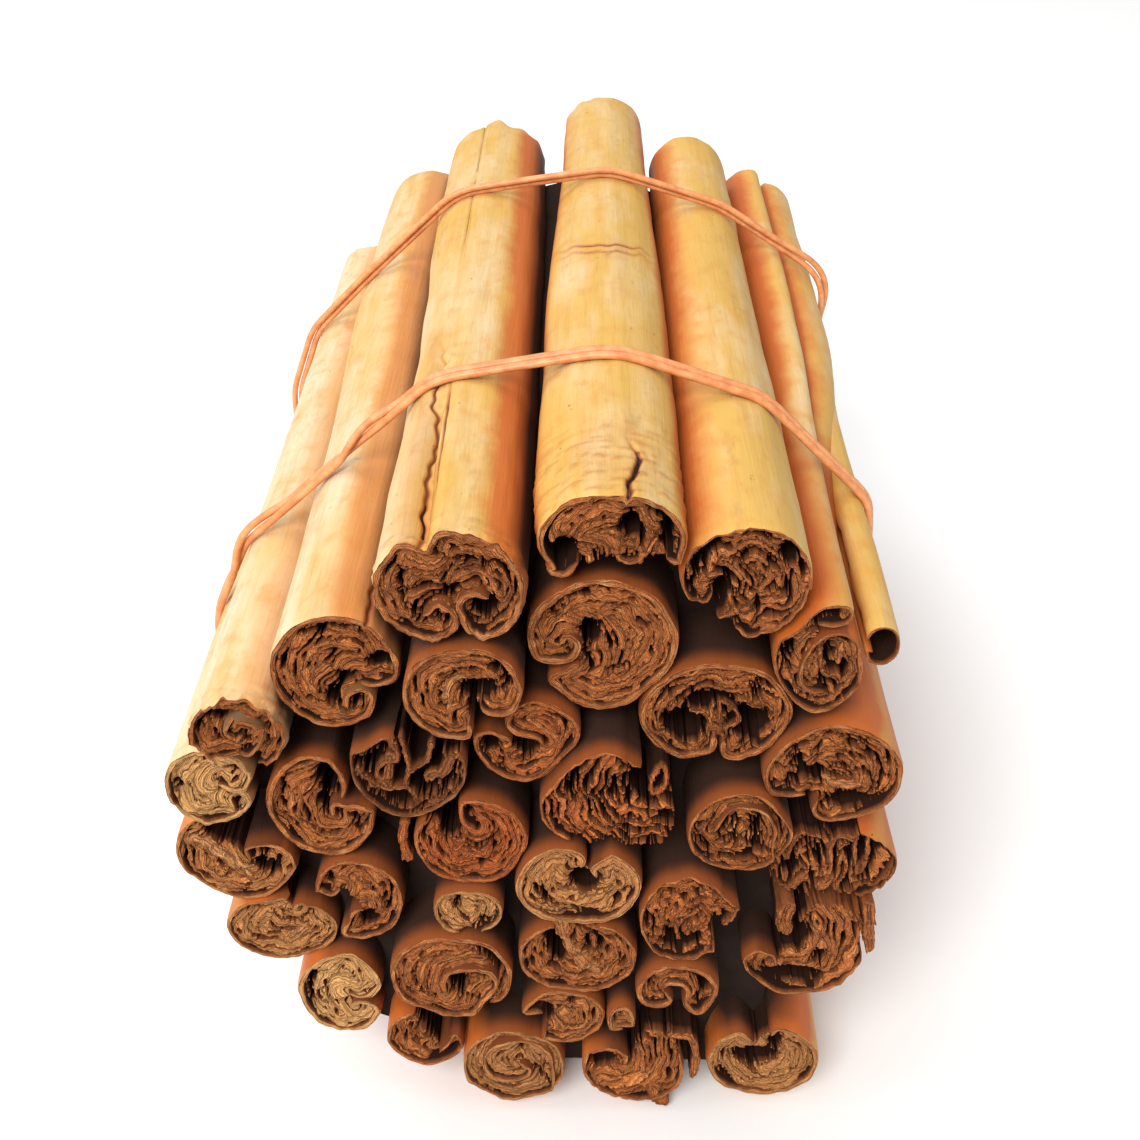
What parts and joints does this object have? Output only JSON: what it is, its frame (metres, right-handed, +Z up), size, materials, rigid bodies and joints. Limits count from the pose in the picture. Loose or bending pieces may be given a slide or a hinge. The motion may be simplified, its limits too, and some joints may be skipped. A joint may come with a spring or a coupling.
{
  "type": "bundle of cinnamon sticks",
  "caption": "Bundle of rolled cinnamon bark quills, trimmed to one length and held together by two doubled rubber bands, lying on its side.",
  "frame": {"origin": "bottom centre of the whole bundle's box, on the surface that it lies on", "axes": "+Y runs along the quills from the trimmed ends to the uneven ends, +Z up"},
  "size_m": [0.074, 0.1296, 0.0758],
  "materials": {
    "bark": "dry, smooth scraped bark with fine lengthwise grain and rough torn edges",
    "band_rubber": "soft satin natural rubber"
  },
  "bodies": {
    "root": {"quills": "bark", "rubber_band_front": "band_rubber", "rubber_band_rear": "band_rubber"}
  },
  "joints": []
}
